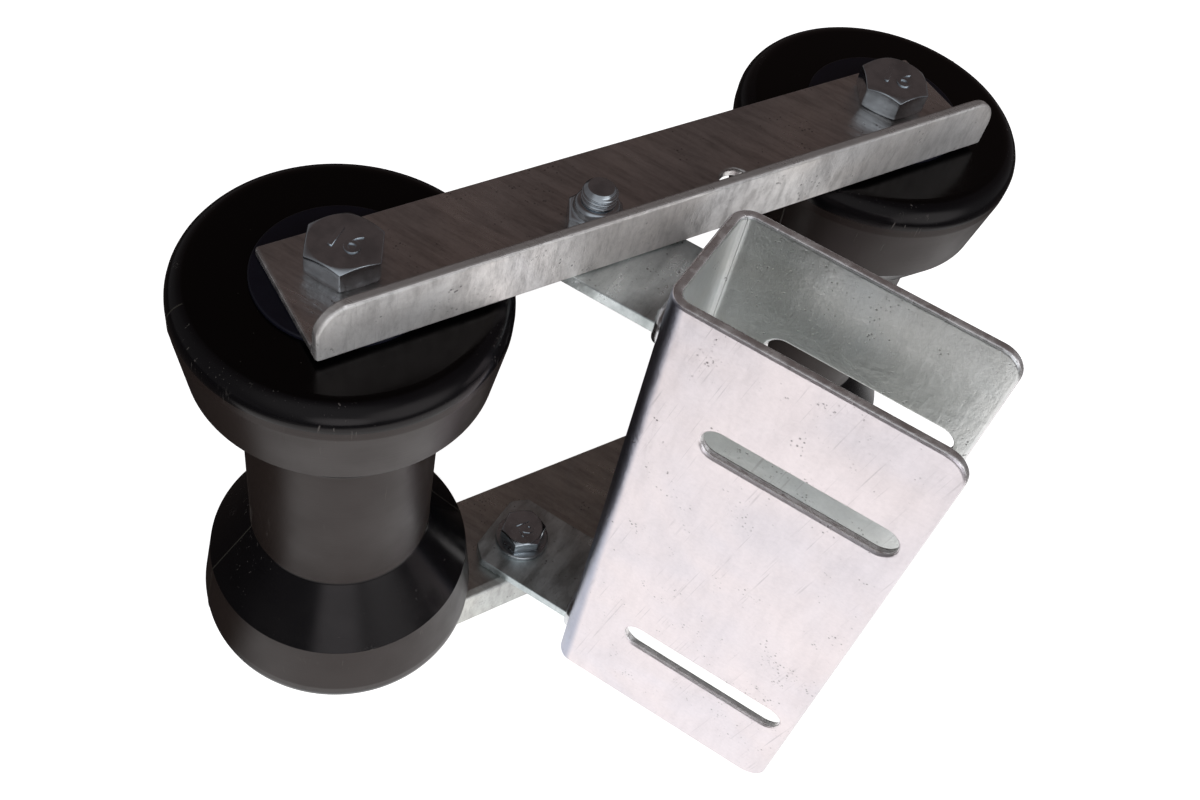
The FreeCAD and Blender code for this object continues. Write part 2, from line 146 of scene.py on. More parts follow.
def build_zinc_skin():
    """Hot-dip zinc: broad soft clouds, fine mottling, drain streaks along the run coordinates, hairline
    scratches across them, clusters of small pits where the acid sat, slow tinges of blue and straw, and
    the ripples that all of them leave."""
    tree = bpy.data.node_groups.new("zinc_skin", "ShaderNodeTree")
    for name in ("Place", "Run Place"):
        tree.interface.new_socket(name=name, in_out="INPUT", socket_type="NodeSocketVector")
    for name in ("Cloud", "Mottle", "Run", "Scratch", "Pit", "Tinge", "Height"):
        tree.interface.new_socket(name=name, in_out="OUTPUT", socket_type="NodeSocketFloat")
    given = tree.nodes.new("NodeGroupInput")
    result = tree.nodes.new("NodeGroupOutput")
    place, run_place = given.outputs["Place"], given.outputs["Run Place"]
    cloud = ramp(tree, noise(tree, place, 26.0, 3.0, 0.5, 0.3), 0.25, 0.78)
    mottle = ramp(tree, noise(tree, place, 520.0, 4.0, 0.65, 0.3), 0.25, 0.78)
    run = ramp(tree, noise(tree, run_place, 150.0, 4.0, 0.65, 0.2), 0.35, 0.75)
    lines = noise(tree, stretched(tree, run_place, (1.0, 0.045, 1.0), (0.25, 0.1, 0.5)), 1500.0, 1.0)
    rubbed = ramp(tree, noise(tree, place, 42.0, 2.0), 0.45, 0.66)
    scratch = sums(tree, "MULTIPLY", ramp(tree, lines, 0.62, 0.72), rubbed)
    cells = tree.nodes.new("ShaderNodeTexVoronoi")
    cells.inputs["Scale"].default_value = 620.0
    tree.links.new(place, cells.inputs["Vector"])
    spots = ramp(tree, cells.outputs["Distance"], 0.14, 0.36, 1.0, 0.0)
    rare = ramp(tree, noise(tree, place, 62.0, 5.0, 0.8), 0.55, 0.64)
    pit = sums(tree, "MULTIPLY", spots, rare)
    tinge = ramp(tree, noise(tree, place, 24.0, 2.0, 0.5, 0.5), 0.3, 0.7)
    height = noise(tree, place, 70.0, 4.0, 0.5, 0.3)
    for kind, effect, share in (("ADD", run, 0.16), ("ADD", mottle, 0.08), ("SUBTRACT", pit, 0.25)):
        height = sums(tree, kind, height, sums(tree, "MULTIPLY", effect, share))
    for k, value in enumerate((cloud, mottle, run, scratch, pit, tinge, height)):
        tree.links.new(value, result.inputs[k])
    return tree


zinc_skin = build_zinc_skin()
STRAW, BLUE, PIT_GREY = (1.0, 0.992, 0.975), (0.972, 0.99, 1.0), (0.16, 0.15, 0.15)


def new_material(name):
    """An empty material: its tree, its surface shader and Object coordinates."""
    made = bpy.data.materials.new(name)
    made.use_nodes = True
    tree = made.node_tree
    shader = next(n for n in tree.nodes if n.type == "BSDF_PRINCIPLED")
    place = tree.nodes.new("ShaderNodeTexCoord").outputs["Object"]
    return made, tree, shader, place


def bumped(tree, shader, height, distance):
    """Small relief: the height, 0 to 1, stands for the given distance."""
    made = tree.nodes.new("ShaderNodeBump")
    made.inputs["Distance"].default_value = distance
    tree.links.new(height, made.inputs["Height"])
    tree.links.new(made.outputs["Normal"], shader.inputs["Normal"])


def galvanised(name, light, dark, rough, relief, weights=(0.5, 0.3, 0.2), run_scale=(1, 1, 1),
               run_turn=(0, 0, 0), edge=None, rim=None, tints=(), dulled=None, crease=None, frost=0.0):
    """Zinc-coated steel. light and dark are its colours, weights how much its clouds, streaks and
    mottling change them, rough the range of its gloss and relief the depth of its ripples. edge gives a
    mask of the sheared rims and rim their colour, tints pairs of a mask and a colour that multiplies the
    zinc's there, dulled a mask with what it adds to the roughness and takes from the metal, crease a
    mask of lines pressed into it, and frost how matt the zinc froze between its streaks."""
    made, tree, shader, place = new_material(name)
    skin = tree.nodes.new("ShaderNodeGroup")
    skin.node_tree = zinc_skin
    tree.links.new(place, skin.inputs["Place"])
    tree.links.new(stretched(tree, place, run_scale, run_turn), skin.inputs["Run Place"])
    tone = sums(tree, "MULTIPLY", skin.outputs["Cloud"], weights[0])
    for effect, weight in (("Run", weights[1]), ("Mottle", weights[2])):
        tone = sums(tree, "ADD", tone, sums(tree, "MULTIPLY", skin.outputs[effect], weight))
    colour = blend(tree, tone, light, dark)
    for mask, tint in tints:
        colour = blend(tree, mask(tree, place), colour, tint, "MULTIPLY")
    colour = blend(tree, 1.0, colour, blend(tree, skin.outputs["Tinge"], STRAW, BLUE), "MULTIPLY")
    for effect, share, stain in (("Pit", 0.7, PIT_GREY), ("Scratch", 0.3, tuple(0.5 * c for c in dark))):
        colour = blend(tree, sums(tree, "MULTIPLY", skin.outputs[effect], share), colour, stain)
    gloss = ramp(tree, tone, 0.0, 1.0, *rough)
    height = skin.outputs["Height"]
    grey = sums(tree, "MULTIPLY", sums(tree, "SUBTRACT", 1.0, skin.outputs["Run"]), frost)
    if crease:
        height = sums(tree, "SUBTRACT", height, sums(tree, "MULTIPLY", crease(tree, place), 0.5))
    if dulled:
        mask = dulled[0](tree, place)
        gloss = sums(tree, "ADD", gloss, sums(tree, "MULTIPLY", mask, dulled[1]))
        grey = sums(tree, "MAXIMUM", grey, sums(tree, "MULTIPLY", mask, dulled[2]))
    if edge:
        mask = edge(tree, place)
        lumps = noise(tree, place, 190.0, 2.5, 0.5, 0.4)
        bare = sums(tree, "MULTIPLY", mask, ramp(tree, lumps, 0.3, 0.66, 0.32, 0.12))
        colour = blend(tree, mask, colour, rim)
        gloss = sums(tree, "SUBTRACT", gloss, sums(tree, "MULTIPLY", mask, 0.12))
        lumpy = sums(tree, "MULTIPLY", lumps, mask)
        height = sums(tree, "ADD", height, sums(tree, "MULTIPLY", lumpy, 0.7))
        grey = sums(tree, "MAXIMUM", grey, bare)
    tree.links.new(sums(tree, "SUBTRACT", 1.0, grey), shader.inputs["Metallic"])
    tree.links.new(colour, shader.inputs["Base Color"])
    tree.links.new(gloss, shader.inputs["Roughness"])
    bumped(tree, shader, height, relief)
    return made


def saddle_rims(tree, place):
    """Mask of the sheared faces: the two ends, the free edges, and the walls of the slots, which are
    what lies within the plate below the bends."""
    x, y, z = (absolute(tree, value) for value in axes(tree, place))
    end = ramp(tree, y, SADDLE_HALF_LONG - 0.7 * MM, SADDLE_HALF_LONG - 0.3 * MM)
    free = ramp(tree, z, SADDLE_DROP - 0.7 * MM, SADDLE_DROP - 0.3 * MM)
    off = absolute(tree, sums(tree, "SUBTRACT", x, WALL_MIDDLE))
    below = ramp(tree, z, 6 * MM, 8 * MM)
    inside = sums(tree, "MULTIPLY", ramp(tree, off, 1.2 * MM, 1.6 * MM, 1.0, 0.0), below)
    return sums(tree, "MAXIMUM", sums(tree, "MAXIMUM", end, free), inside)


def saddle_inside(tree, place):
    """Mask of the faces that look into the channel, painted green there as a reflection of its walls."""
    x, _, z = axes(tree, place)
    walls = ramp(tree, absolute(tree, x), 23.6 * MM, 24.2 * MM, 1.0, 0.0)
    return sums(tree, "MULTIPLY", walls, ramp(tree, z, 0.4 * MM, 1.0 * MM, 1.0, 0.0))


def saddle_bend_shade(tree, place):
    """Mask of the two outer bends, painted darker blue-grey as the shade that the bends show."""
    x, _, z = axes(tree, place)
    return ramp(tree, sums(tree, "ADD", absolute(tree, x), z), 22.6 * MM, 25.6 * MM, 0.0, 0.9)


def saddle_crease(tree, place):
    """Mask of the line that the press tool's nose left along each inner bend."""
    x, _, z = axes(tree, place)
    off = absolute(tree, sums(tree, "SUBTRACT", absolute(tree, x), CREASE_AT))
    line = ramp(tree, off, 0.1 * MM, 0.35 * MM, 1.0, 0.0)
    return sums(tree, "MULTIPLY", line, ramp(tree, z, -1.0 * MM, 0.5 * MM, 1.0, 0.0))


saddle = rounded_copy("saddle_bracket", "saddle_plate", "saddle", SADDLE_ROUND, 5)
saddle.data.materials.append(galvanised(
    "saddle_zinc", light=(0.91, 0.835, 0.86), dark=(0.66, 0.61, 0.63), rough=(0.33, 0.46),
    relief=0.4 * MM, weights=(0.26, 0.2, 0.2), run_scale=(1.0, 0.22, 1.0), run_turn=(0.7, 0.0, 0.0),
    edge=saddle_rims, rim=(0.86, 0.83, 0.83),
    # the first tint paints the channel's inner faces green, a painted reflection of its own walls
    # the second tint paints the outer bends darker blue-grey, as painted shade
    tints=((saddle_inside, (0.93, 1.02, 0.98)), (saddle_bend_shade, (0.5, 0.57, 0.68))),
    dulled=(saddle_inside, -0.04, 0.0), crease=saddle_crease))


# Ears: two flat bars with clipped corners that stand across the top of the saddle and carry the
# pivot bolts. They are sheared and drilled, then welded on before the whole bracket is dipped.
EAR_ROUND = 0.5 * MM
for hand in ("left", "right"):
    ear = rounded_copy(f"{hand}_ear", f"{hand}_ear_plate", "saddle", EAR_ROUND, 3)
    ear.data.materials.append(galvanised(
        f"{hand}_ear_zinc", light=(0.9, 0.95, 0.96), dark=(0.36, 0.41, 0.41), rough=(0.26, 0.4),
        relief=0.32 * MM, weights=(0.45, 0.4, 0.15), run_scale=(0.35, 0.5, 1.1),
        run_turn=(0.0, 0.5, 0.0), frost=0.24))


# Ear welds: one run of fillet weld all round the foot of each ear. Each bead is a row of frozen
# ripples, thinner round the foot's narrow ends, and the zinc has filled its toes.
EAR_HALF_WIDE, EAR_THICK, EAR_MIDDLE = 20 * MM, 5 * MM, 99.2 * MM
WEB_TOP, BEND_START, BEND_RADIUS = 4 * MM, 19 * MM, 8 * MM
WELD_LEG, WELD_HIGH, RIPPLE_PITCH = 4.2 * MM, 3.7 * MM, 1.9 * MM
WELD_STEPS, WELD_ACROSS, WELD_CORNER, WELD_SUNK = 420, 14, 0.8 * MM, 0.15 * MM


def grid_mesh(name, points, wrap_rows=True):
    """A mesh from a rows x columns x 3 array of points, closed round its columns, and round its rows
    too unless its first and last rows are single points."""
    rows, columns = points.shape[:2]
    row = np.arange(rows if wrap_rows else rows - 1)[:, None]
    column = np.arange(columns)[None, :]
    next_row, next_column = (row + 1) % rows, (column + 1) % columns
    a, b = (row * columns + column).ravel(), (row * columns + next_column).ravel()
    c, d = (next_row * columns + next_column).ravel(), (next_row * columns + column).ravel()
    mesh = bpy.data.meshes.new(name)
    mesh.from_pydata(points.reshape(-1, 3), [], np.stack((a, b, c, d), axis=1).tolist())
    mesh.shade_smooth()
    return mesh


def place_piece(name, mesh, body, slot, material, *nodes):
    """A finished piece: outward faces, its material, its body and the CAD nodes that it stands for."""
    tidy = bmesh.new()
    tidy.from_mesh(mesh)
    bmesh.ops.remove_doubles(tidy, verts=tidy.verts, dist=0.001 * MM)
    bmesh.ops.recalc_face_normals(tidy, faces=tidy.faces)
    tidy.to_mesh(mesh)
    tidy.free()
    mesh.materials.append(material)
    piece = bpy.data.objects.new(name, mesh)
    bpy.context.scene.collection.objects.link(piece)
    if nodes:
        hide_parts(*nodes)
    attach(piece, body)
    return piece


def weld_bead(side, seed):
    """A bead round a rectangle. Along the run, s goes once round the ear's foot; across it, t goes from
    the web's toe up over a bulging face to the ear's toe and back inside the metal. Each ripple is a
    half wave of s, slow waves of s make the run thicker and thinner, and it tapers with distance
    beyond 16 mm from the ear's middle."""
    half_x, half_y, turning = EAR_HALF_WIDE, EAR_THICK / 2, 2 * WELD_CORNER
    perimeter = 4 * (half_x + half_y)
    s = np.linspace(0, perimeter, WELD_STEPS, endpoint=False)
    corners = np.cumsum([0, 2 * half_x, 2 * half_y, 2 * half_x, 2 * half_y])
    x = np.interp(s, corners, [-half_x, half_x, half_x, -half_x, -half_x])
    y = np.interp(s, corners, [-half_y, -half_y, half_y, half_y, -half_y])
    straights = np.sort(np.concatenate((corners[1:] - turning, corners[:-1] + turning)))
    angle = np.interp(s, straights, np.repeat([-90, 0, 90, 180], 2))
    angle = np.where(s > corners[4] - turning, 180 + 45 * (s - corners[4] + turning) / turning, angle)
    angle = np.where(s < turning, -90 - 45 * (turning - s) / turning, angle)
    out_x, out_y = np.cos(np.radians(angle)), np.sin(np.radians(angle))
    rng = np.random.default_rng(seed)
    waves = sum(rng.uniform(0.3, 1.0) * np.sin(2 * np.pi * (k * s / perimeter + rng.random()))
                for k in range(3, 12))
    ripples = np.abs(np.sin(np.pi * s / RIPPLE_PITCH + 0.8 * np.sin(waves)))
    taper = 1 - 0.4 * np.clip((np.abs(x) - 16 * MM) / (4 * MM), 0, 1)
    thick = (0.96 + 0.035 * waves + 0.012 * ripples) * taper
    t = np.linspace(0, 1, WELD_ACROSS)[None, :]
    full = thick[:, None] * (1 + 0.06 * np.sin(np.pi * t))
    reach = WELD_LEG * full * np.cos(0.5 * np.pi * t)
    rise = WELD_HIGH * full * np.sin(0.5 * np.pi * t)
    px = x[:, None] + out_x[:, None] * reach
    py = y[:, None] + out_y[:, None] * reach
    over = np.clip(np.abs(px) - BEND_START, 0, BEND_RADIUS * 0.98)
    web = WEB_TOP - (BEND_RADIUS - np.sqrt(BEND_RADIUS ** 2 - over ** 2))
    pz = web + rise - WELD_SUNK
    inner = np.stack((x - out_x * 0.6 * MM, y - out_y * 0.6 * MM, np.full_like(x, WEB_TOP - 0.8 * MM)),
                     axis=1)
    rows = np.concatenate((np.stack((px, py, pz), axis=2), inner[:, None, :]), axis=1)
    rows[:, :, 1] += side * EAR_MIDDLE
    return grid_mesh("weld", rows)


weld_zinc = galvanised("weld_zinc", light=(0.84, 0.84, 0.84), dark=(0.55, 0.56, 0.6),
                       rough=(0.22, 0.36), relief=0.3 * MM)
for hand, side in (("left", 1), ("right", -1)):
    place_piece(f"{hand}_ear_weld_run", weld_bead(side, 4 + side), "saddle", "weld_bead", weld_zinc,
                f"{hand}_ear_weld")


# Side arms: pressed angle, the flat side against the rollers and the lip turned outwards, with the
# lip's free corners cut round. The zinc ran off them across their length and froze in fine streaks,
# smooth on the flats and duller on the lips, on the right arm a shade darker.
TIP = np.radians(28.5)
PIVOT_HIGH = 42.5 * MM
ARM_ABOVE, ARM_BELOW, ARM_LIP, ARM_FRONT, ARM_REAR = 33 * MM, 15 * MM, 124 * MM, 105.5 * MM, 165.5 * MM
ARM_ROUND = 1.3 * MM


def arm_place(tree, place):
    """Places measured along, across and up from the pivot in the arm's own directions."""
    level = tree.nodes.new("ShaderNodeVectorRotate")
    level.rotation_type = "Y_AXIS"
    level.inputs["Center"].default_value = (0, 0, PIVOT_HIGH)
    level.inputs["Angle"].default_value = float(TIP)
    tree.links.new(place, level.inputs["Vector"])
    x, y, z = axes(tree, level.outputs["Vector"])
    return x, absolute(tree, y), sums(tree, "SUBTRACT", z, PIVOT_HIGH)


def arm_lip(tree, place):
    """Mask of an arm's outward lip, the lowest 4 mm of the section."""
    up = arm_place(tree, place)[2]
    return ramp(tree, up, -ARM_BELOW + 3.4 * MM, -ARM_BELOW + 4.4 * MM, 1.0, 0.0)


def arm_rims(tree, place):
    """Mask of an arm's sheared faces: its upper edge, its two ends and the lip's free edge."""
    along, across, up = arm_place(tree, place)
    rims = ramp(tree, along, -ARM_REAR + 0.2 * MM, -ARM_REAR + 0.6 * MM, 1.0, 0.0)
    for value, limit in ((up, ARM_ABOVE), (across, ARM_LIP), (along, ARM_FRONT)):
        rims = sums(tree, "MAXIMUM", rims, ramp(tree, value, limit - 0.6 * MM, limit - 0.2 * MM))
    return rims


for hand, tone in (("left", (0.98, 0.95, 0.93)), ("right", (0.85, 0.86, 0.81))):
    arm = rounded_copy(f"{hand}_side_arm", f"{hand}_arm_angle", "rocker", ARM_ROUND, 5)
    arm.data.materials.append(galvanised(
        f"{hand}_arm_zinc", light=tone, dark=(0.44, 0.42, 0.41), rough=(0.26, 0.42),
        relief=0.5 * MM, weights=(0.45, 0.45, 0.15), run_scale=(1.9, 0.5, 0.28),
        run_turn=(0.0, float(TIP + 0.25), 0.0), edge=arm_rims, rim=(0.6, 0.58, 0.57),
        dulled=(arm_lip, 0.1, 0.34), frost=0.03))


# Spacer tubes: a length of galvanised tube through each roller, which holds the arms apart so that
# the axle bolt can be pulled tight and the roller still turns.
tube_zinc = galvanised("tube_zinc", light=(0.68, 0.68, 0.68), dark=(0.5, 0.5, 0.5),
                       rough=(0.3, 0.45), relief=0.1 * MM, run_scale=(1.0, 0.2, 1.0))
for end in ("front", "rear"):
    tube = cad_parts[f"{end}_spacer_tube"]
    tube.data.materials.clear()
    tube.data.materials.append(tube_zinc)


# Rollers: two solid black mouldings, waisted so that the keel runs in the middle. The ends and
# their rounded rims came glossy from the mould, the waist and the outer bands were left satin, and
# a fine parting line runs down each side.
LEVEL, NEAR_AXLE, AXLE_SPACING = 16 * MM, 82.5 * MM, 225 * MM
ROLLER_HALF, RIM, RIM_ROUND, RIM_LONG, RIM_FOOT_ROUND = 100 * MM, 56 * MM, 8 * MM, 12 * MM, 6 * MM
BAND_RADIUS, BAND_AT = 52.5 * MM, 63 * MM
WAIST, WAIST_AT, WAIST_ROUND = 35.5 * MM, 37 * MM, 3.5 * MM
BARREL, CORE, BARREL_AT = 15.05 * MM, 11.15 * MM, 70 * MM
SUPPORT = 0.12 * MM


def axle_centre(along):
    """Middle of an axle, from its distance along the tipped rocker."""
    return Vector((along * np.cos(TIP) - LEVEL * np.sin(TIP), 0.0,
                   PIVOT_HIGH + along * np.sin(TIP) + LEVEL * np.cos(TIP)))


AXLES = {"front": axle_centre(NEAR_AXLE), "rear": axle_centre(NEAR_AXLE - AXLE_SPACING)}


def rounded_outline(corners, steps):
    """A closed outline of (across, radius) corners, each with its own round: a corner becomes an arc
    tangent to its two sides, with one more point just before and after it to hold the flats flat."""
    points = []
    count = len(corners)
    for k, (here, round_off) in enumerate(corners):
        here = np.array(here, float)
        before = np.array(corners[k - 1][0], float) - here
        after = np.array(corners[(k + 1) % count][0], float) - here
        u, v = before / np.linalg.norm(before), after / np.linalg.norm(after)
        if round_off <= 0:
            points.append(here)
            continue
        half = 0.5 * np.arccos(np.clip(u @ v, -1, 1))
        reach = round_off / np.tan(half)
        middle = here + (u + v) / np.linalg.norm(u + v) * round_off / np.sin(half)
        start, stop = here + u * reach, here + v * reach
        a = np.arctan2(*(start - middle)[::-1])
        b = np.arctan2(*(stop - middle)[::-1])
        b = a + (b - a + np.pi) % (2 * np.pi) - np.pi
        turn = np.linspace(a, b, steps)
        arc = middle + round_off * np.stack((np.cos(turn), np.sin(turn)), axis=1)
        points += [start + u * SUPPORT, *arc, stop + v * SUPPORT]
    return np.array(points)


def turned(name, outline, centre, angles=None, swell=None):
    """A closed outline carried round the Y axis through a centre: point = (r cos a, along, r sin a).
    swell adds to the radius as a function of the angle and the place along the axis."""
    if angles is None:
        angles = np.linspace(0, 2 * np.pi, 160, endpoint=False)
    along, radius = outline[:, 0][:, None], outline[:, 1][:, None]
    radius = radius + (swell(angles[None, :], along, radius) if swell else 0.0)
    points = np.stack((radius * np.cos(angles), along + 0 * angles, radius * np.sin(angles)), axis=2)
    return grid_mesh(name, points + np.array(centre))


left_half = [((BARREL_AT, CORE), 0), ((BARREL_AT, BARREL), 0), ((ROLLER_HALF, BARREL), 0.6 * MM),
             ((ROLLER_HALF, RIM), RIM_ROUND), ((ROLLER_HALF - RIM_LONG, RIM), RIM_FOOT_ROUND),
             ((BAND_AT, BAND_RADIUS), 0.7 * MM), ((WAIST_AT, WAIST), WAIST_ROUND)]
right_half = [((-at, radius), size) for (at, radius), size in reversed(left_half)]
roller_outline = rounded_outline(left_half + right_half, 10)
PARTING = {"front": np.radians(38), "rear": np.radians(12)}


def parting_angles(seam):
    """Angles round a roller, evenly spread, with extra ones across both parting lines."""
    even = np.linspace(0, 2 * np.pi, 240, endpoint=False)
    fine = seam + np.radians(np.linspace(-0.9, 0.9, 13))
    return np.unique(np.concatenate((even, fine % (2 * np.pi), (fine + np.pi) % (2 * np.pi))))


def parting_line(seam):
    """A ridge 0.18 mm high and about 0.7 mm wide down two opposite sides of the moulding, and slow
    hollows up to 0.1 mm deep from cooling."""
    def swell(angle, along, radius):
        off = np.abs((angle - seam + np.pi / 2) % np.pi - np.pi / 2)
        outside = radius > 20 * MM
        ridge = 0.18 * MM * np.exp(-(off * radius / (0.3 * MM)) ** 2)
        sink = 0.05 * MM * (1 + np.sin(3 * angle + along / (21 * MM)) * np.sin(along / (17 * MM)))
        return np.where(outside, ridge - sink, 0.0)
    return swell


MARKS = {   # along the axle, radius, angle, half length along the axle, half length round it, strength
    "front": ((-49, 43.5, 59, 5.5, 3.0, 0.5), (-70, 53.3, 337, 2.2, 9.0, 0.35),
              (-62.5, 52, 310, 1.6, 4.5, 0.45), (98.5, 52, 56.6, 2.0, 2.4, 1.0),
              (93, 56, 2, 5.0, 4.0, 0.4)),
    "rear": ((97, 54, 328, 3.5, 1.2, 0.8), (96.5, 54.3, 317.4, 5.0, 1.0, 0.8),
             (-75, 54, 250, 3.0, 9.0, 0.4)),
}


def vectors(tree, kind, first, second, output="Vector"):
    """Arithmetic on coordinates and three numbers."""
    made = tree.nodes.new("ShaderNodeVectorMath")
    made.operation = kind
    made.inputs[1].default_value = second
    tree.links.new(first, made.inputs[0])
    return made.outputs[output]


def roller_marks(tree, local, marks):
    """Mask of the places that were scraped: soft ellipsoids, each broken up by fine streaks."""
    streaks = noise(tree, stretched(tree, local, (1.0, 0.16, 1.0), (0.2, 0.0, 0.3)), 1300.0, 3.0, 0.7)
    total = 0.0
    for along, radius, angle, length, width, strength in marks:
        turn = np.radians(angle)
        middle = (radius * np.cos(turn) * MM, along * MM, radius * np.sin(turn) * MM)
        off = vectors(tree, "SUBTRACT", local, middle)
        shrunk = vectors(tree, "MULTIPLY", off, (1 / (width * MM), 1 / (length * MM), 1 / (width * MM)))
        away = vectors(tree, "DISTANCE", shrunk, (0.0, 0.0, 0.0), "Value")
        total = sums(tree, "MAXIMUM", ramp(tree, away, 0.35, 1.0, strength, 0.0), total)
    return sums(tree, "MULTIPLY", total, ramp(tree, streaks, 0.5, 0.66))


def roller_black(name, centre, marks, seam):
    """Black moulding: gloss at the ends, satin on the waist and bands, with scuffs, dust and a paler
    line where the two halves of the mould met."""
    made, tree, shader, place = new_material(name)
    local = vectors(tree, "SUBTRACT", place, centre)
    along = absolute(tree, axes(tree, local)[1])
    waist = ramp(tree, along, 36.6 * MM, 37.2 * MM, 1.0, 0.0)
    band = sums(tree, "MULTIPLY", ramp(tree, along, 62.8 * MM, 63.4 * MM),
                ramp(tree, along, 90.8 * MM, 91.8 * MM, 1.0, 0.0))
    satin = sums(tree, "MAXIMUM", waist, band)
    face = ramp(tree, along, 99.5 * MM, 99.8 * MM)
    sides = sums(tree, "SUBTRACT", 1.0, face)
    haze = noise(tree, local, 45.0, 3.0)
    rings = noise(tree, stretched(tree, local, (0.15, 6.0, 0.15)), 300.0, 2.0)
    scratches = noise(tree, stretched(tree, local, (1.0, 0.06, 1.0), (0.35, 0.0, 0.2)), 900.0, 2.0)
    rare = ramp(tree, noise(tree, local, 30.0, 2.0), 0.56, 0.66)
    scuff = sums(tree, "MULTIPLY", ramp(tree, scratches, 0.66, 0.72), rare)
    scuff = sums(tree, "MULTIPLY", scuff, sides)
    scuff = sums(tree, "MAXIMUM", scuff, roller_marks(tree, local, marks))
    grit = tree.nodes.new("ShaderNodeTexVoronoi")
    grit.inputs["Scale"].default_value = 360.0
    tree.links.new(local, grit.inputs["Vector"])
    dust = ramp(tree, grit.outputs["Distance"], 0.05, 0.1, 1.0, 0.0)
    dust = sums(tree, "MULTIPLY", dust, ramp(tree, noise(tree, local, 110.0, 2.0), 0.55, 0.6))
    beside = vectors(tree, "DOT_PRODUCT", local, (-np.sin(seam), 0.0, np.cos(seam)), "Value")
    parting = ramp(tree, absolute(tree, beside), 0.12 * MM, 0.4 * MM, 1.0, 0.0)
    parting = sums(tree, "MULTIPLY", parting, sides)
    colour = blend(tree, satin, (0.003, 0.003, 0.004), (0.024, 0.0165, 0.0142))
    for mask, share, tone in ((parting, 0.5, (0.09, 0.085, 0.07)), (haze, 0.3, (0.008, 0.0074, 0.007)),
                              (face, 1.0, (0.0008, 0.0008, 0.0009)), (dust, 0.2, (0.12, 0.11, 0.1)),
                              (scuff, 0.4, (0.17, 0.155, 0.145))):
        colour = blend(tree, sums(tree, "MULTIPLY", mask, share), colour, tone)
    gloss = ramp(tree, satin, 0.0, 1.0, 0.17, 0.33)
    for change in (ramp(tree, haze, 0.3, 0.7, -0.04, 0.06), sums(tree, "MULTIPLY", rings, 0.05),
                   sums(tree, "MULTIPLY", scuff, 0.25)):
        gloss = sums(tree, "ADD", gloss, change)
    tree.links.new(colour, shader.inputs["Base Color"])
    tree.links.new(gloss, shader.inputs["Roughness"])
    height = sums(tree, "ADD", sums(tree, "MULTIPLY", rings, 0.3), sums(tree, "MULTIPLY", haze, 0.5))
    height = sums(tree, "SUBTRACT", height, sums(tree, "MULTIPLY", scuff, 0.6))
    shader.inputs["Specular IOR Level"].default_value = 0.27
    shader.inputs["Specular Tint"].default_value = (1.0, 0.91, 0.88, 1.0)
    bumped(tree, shader, height, 0.05 * MM)
    return made


for end, centre in AXLES.items():
    seam = PARTING[end]
    moulding = turned(f"{end}_roller_moulding", roller_outline, centre, parting_angles(seam),
                      parting_line(seam))
    place_piece(f"{end}_roller_moulding", moulding, f"{end}_wheel", "roller_rubber",
                roller_black(f"{end}_roller_black", centre, MARKS[end], seam), f"{end}_roller")


# Hub bushes: flanged bushes of smooth blue-black plastic, pushed into the rollers' ends so that
# the discs run against the side arms and the barrels turn on the spacer tubes.
HUB_RADIUS, HUB_THICK, HUB_BARREL, HUB_BORE = 30 * MM, 1.7 * MM, 15 * MM, 10.73 * MM
HUB_SEAT, HUB_FACE = ROLLER_HALF + 0.02 * MM, ROLLER_HALF + HUB_THICK
hub_outline = rounded_outline([((HUB_SEAT, HUB_BARREL), 0), ((HUB_SEAT, HUB_RADIUS), 0.3 * MM),
                               ((HUB_FACE, HUB_RADIUS), 0.8 * MM), ((HUB_FACE, HUB_BORE), 0.4 * MM),
                               ((BARREL_AT, HUB_BORE), 0.3 * MM),
                               ((BARREL_AT, HUB_BARREL), 0.5 * MM)], 6)


def plastic(name, fineness, detail, darker, paler, spread, rough, specular, relief):
    """Smooth moulded plastic with a faint swirl in its colour, its gloss and its relief; spread is the
    range of the swirl over which the roughness goes through its own."""
    made, tree, shader, place = new_material(name)
    swirl = noise(tree, place, fineness, detail)
    tree.links.new(blend(tree, swirl, darker, paler), shader.inputs["Base Color"])
    tree.links.new(ramp(tree, swirl, *spread, *rough), shader.inputs["Roughness"])
    shader.inputs["Specular IOR Level"].default_value = specular
    bumped(tree, shader, swirl, relief)
    return made


hub_black = plastic("hub_black", 160.0, 3.0, (0.004, 0.004, 0.009), (0.007, 0.0075, 0.014), (0.2, 0.8),
                    (0.3, 0.36), 0.35, 0.015 * MM)
for end, centre in AXLES.items():
    for hand, side in (("left", 1), ("right", -1)):
        hub = turned(f"{end}_{hand}_hub", hub_outline * np.array([side, 1.0]), centre)
        place_piece(f"{end}_{hand}_hub", hub, f"{end}_wheel", "hub_plastic", hub_black,
                    f"{end}_{hand}_hub_bush")


# Axle bolts: 16 mm hexagon bolts through the arms and the spacer tubes, bright zinc plated, each
# with a washer and a locking nut on the far side. Their heads are forged, with a turned top that
# bears only the plain size in raised figures.
AXLE_THREAD, AXLE_PITCH, AXLE_ACROSS, AXLE_HEAD = 16 * MM, 2 * MM, 24 * MM, 10 * MM
ARM_OUTSIDE = 106 * MM
CRISPNESS, HAIR = 70, 0.05 * MM     # how sharp the corners are, and a hair's breadth between skins


def hexagon_radius(angle, across):
    """Distance to the side of a hexagon with slightly rounded corners: across / 2 divided by the
    power mean of the cosines of the angles to its six flats."""
    flats = np.radians(30 + 60 * np.arange(6))
    facing = np.clip(np.cos(angle[..., None] - flats), 0, 1)
    return across / 2 / (facing ** CRISPNESS).sum(-1) ** (1 / CRISPNESS)


def hexagon_angles():
    """Angles that are close together at the six corners."""
    step = np.linspace(-1, 1, 13)
    near = np.radians(4) * np.sign(step) * np.abs(step) ** 1.5
    sixths = np.radians(60 * np.arange(6))[:, None]
    corners, flats = sixths + near, sixths + np.radians(np.linspace(6, 54, 13))
    return np.sort(np.concatenate((corners.ravel() % (2 * np.pi), flats.ravel())))


